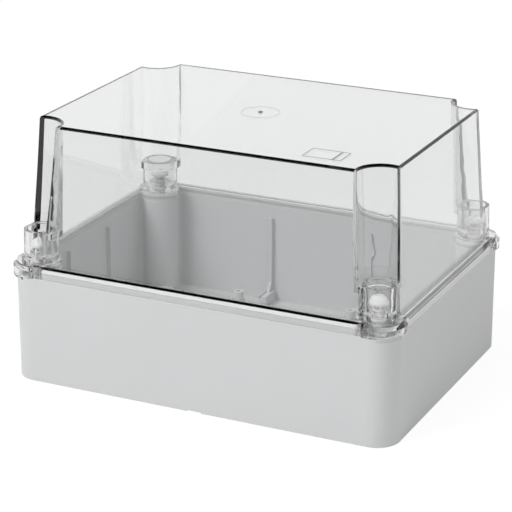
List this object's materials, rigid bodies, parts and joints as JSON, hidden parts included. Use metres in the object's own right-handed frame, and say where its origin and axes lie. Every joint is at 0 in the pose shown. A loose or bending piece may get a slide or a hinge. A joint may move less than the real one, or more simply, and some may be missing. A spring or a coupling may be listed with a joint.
{
  "type": "junction box",
  "caption": "Smooth-walled grey junction box with a deep clear lid on a gasket, closed by captive quarter-turn screws in corner wells.",
  "frame": {"origin": "middle of the base's back face, on the wall or table that it rests on", "axes": "+Z out of the wall through the lid, +X along the long side"},
  "size_m": [0.3218, 0.2378, 0.2025],
  "materials": {
    "base_plastic": "light grey moulded thermoplastic, fine matt surface",
    "clear_lid": "clear polished polycarbonate",
    "gasket_foam": "pale grey foam seal",
    "screw_plastic": "off-white polyamide",
    "retainer_plastic": "off-white polyamide"
  },
  "bodies": {
    "base": {"base": "base_plastic", "wall_screw_cap_front_left": "base_plastic", "wall_screw_cap_front_right": "base_plastic", "wall_screw_cap_rear_left": "base_plastic", "wall_screw_cap_rear_right": "base_plastic"},
    "lid": {"lid": "clear_lid", "gasket": "gasket_foam"},
    "retainer_front_left": {"screw_retainer_front_left": "retainer_plastic"},
    "screw_front_left": {"closing_screw_front_left": "screw_plastic"},
    "retainer_front_right": {"screw_retainer_front_right": "retainer_plastic"},
    "screw_front_right": {"closing_screw_front_right": "screw_plastic"},
    "retainer_rear_left": {"screw_retainer_rear_left": "retainer_plastic"},
    "screw_rear_left": {"closing_screw_rear_left": "screw_plastic"},
    "retainer_rear_right": {"screw_retainer_rear_right": "retainer_plastic"},
    "screw_rear_right": {"closing_screw_rear_right": "screw_plastic"}
  },
  "joints": [
    {"name": "lid_lift", "type": "slide", "parent": "base", "child": "lid", "axis": [0, 0, 1], "range_m": [0, 0.15]},
    {"name": "screw_press_front_left", "type": "slide", "parent": "lid", "child": "retainer_front_left", "axis": [0, 0, -1], "range_m": [-0.003, 0.005]},
    {"name": "screw_turn_front_left", "type": "hinge", "parent": "retainer_front_left", "child": "screw_front_left", "pos_m": [-0.1395, -0.0975, 0.0936], "axis": [0, 0, -1], "range_deg": [0, 90]},
    {"name": "screw_press_front_right", "type": "slide", "parent": "lid", "child": "retainer_front_right", "axis": [0, 0, -1], "range_m": [-0.003, 0.005]},
    {"name": "screw_turn_front_right", "type": "hinge", "parent": "retainer_front_right", "child": "screw_front_right", "pos_m": [0.1395, -0.0975, 0.0936], "axis": [0, 0, -1], "range_deg": [0, 90]},
    {"name": "screw_press_rear_left", "type": "slide", "parent": "lid", "child": "retainer_rear_left", "axis": [0, 0, -1], "range_m": [-0.003, 0.005]},
    {"name": "screw_turn_rear_left", "type": "hinge", "parent": "retainer_rear_left", "child": "screw_rear_left", "pos_m": [-0.1395, 0.0975, 0.0936], "axis": [0, 0, -1], "range_deg": [0, 90]},
    {"name": "screw_press_rear_right", "type": "slide", "parent": "lid", "child": "retainer_rear_right", "axis": [0, 0, -1], "range_m": [-0.003, 0.005]},
    {"name": "screw_turn_rear_right", "type": "hinge", "parent": "retainer_rear_right", "child": "screw_rear_right", "pos_m": [0.1395, 0.0975, 0.0936], "axis": [0, 0, -1], "range_deg": [0, 90]}
  ]
}
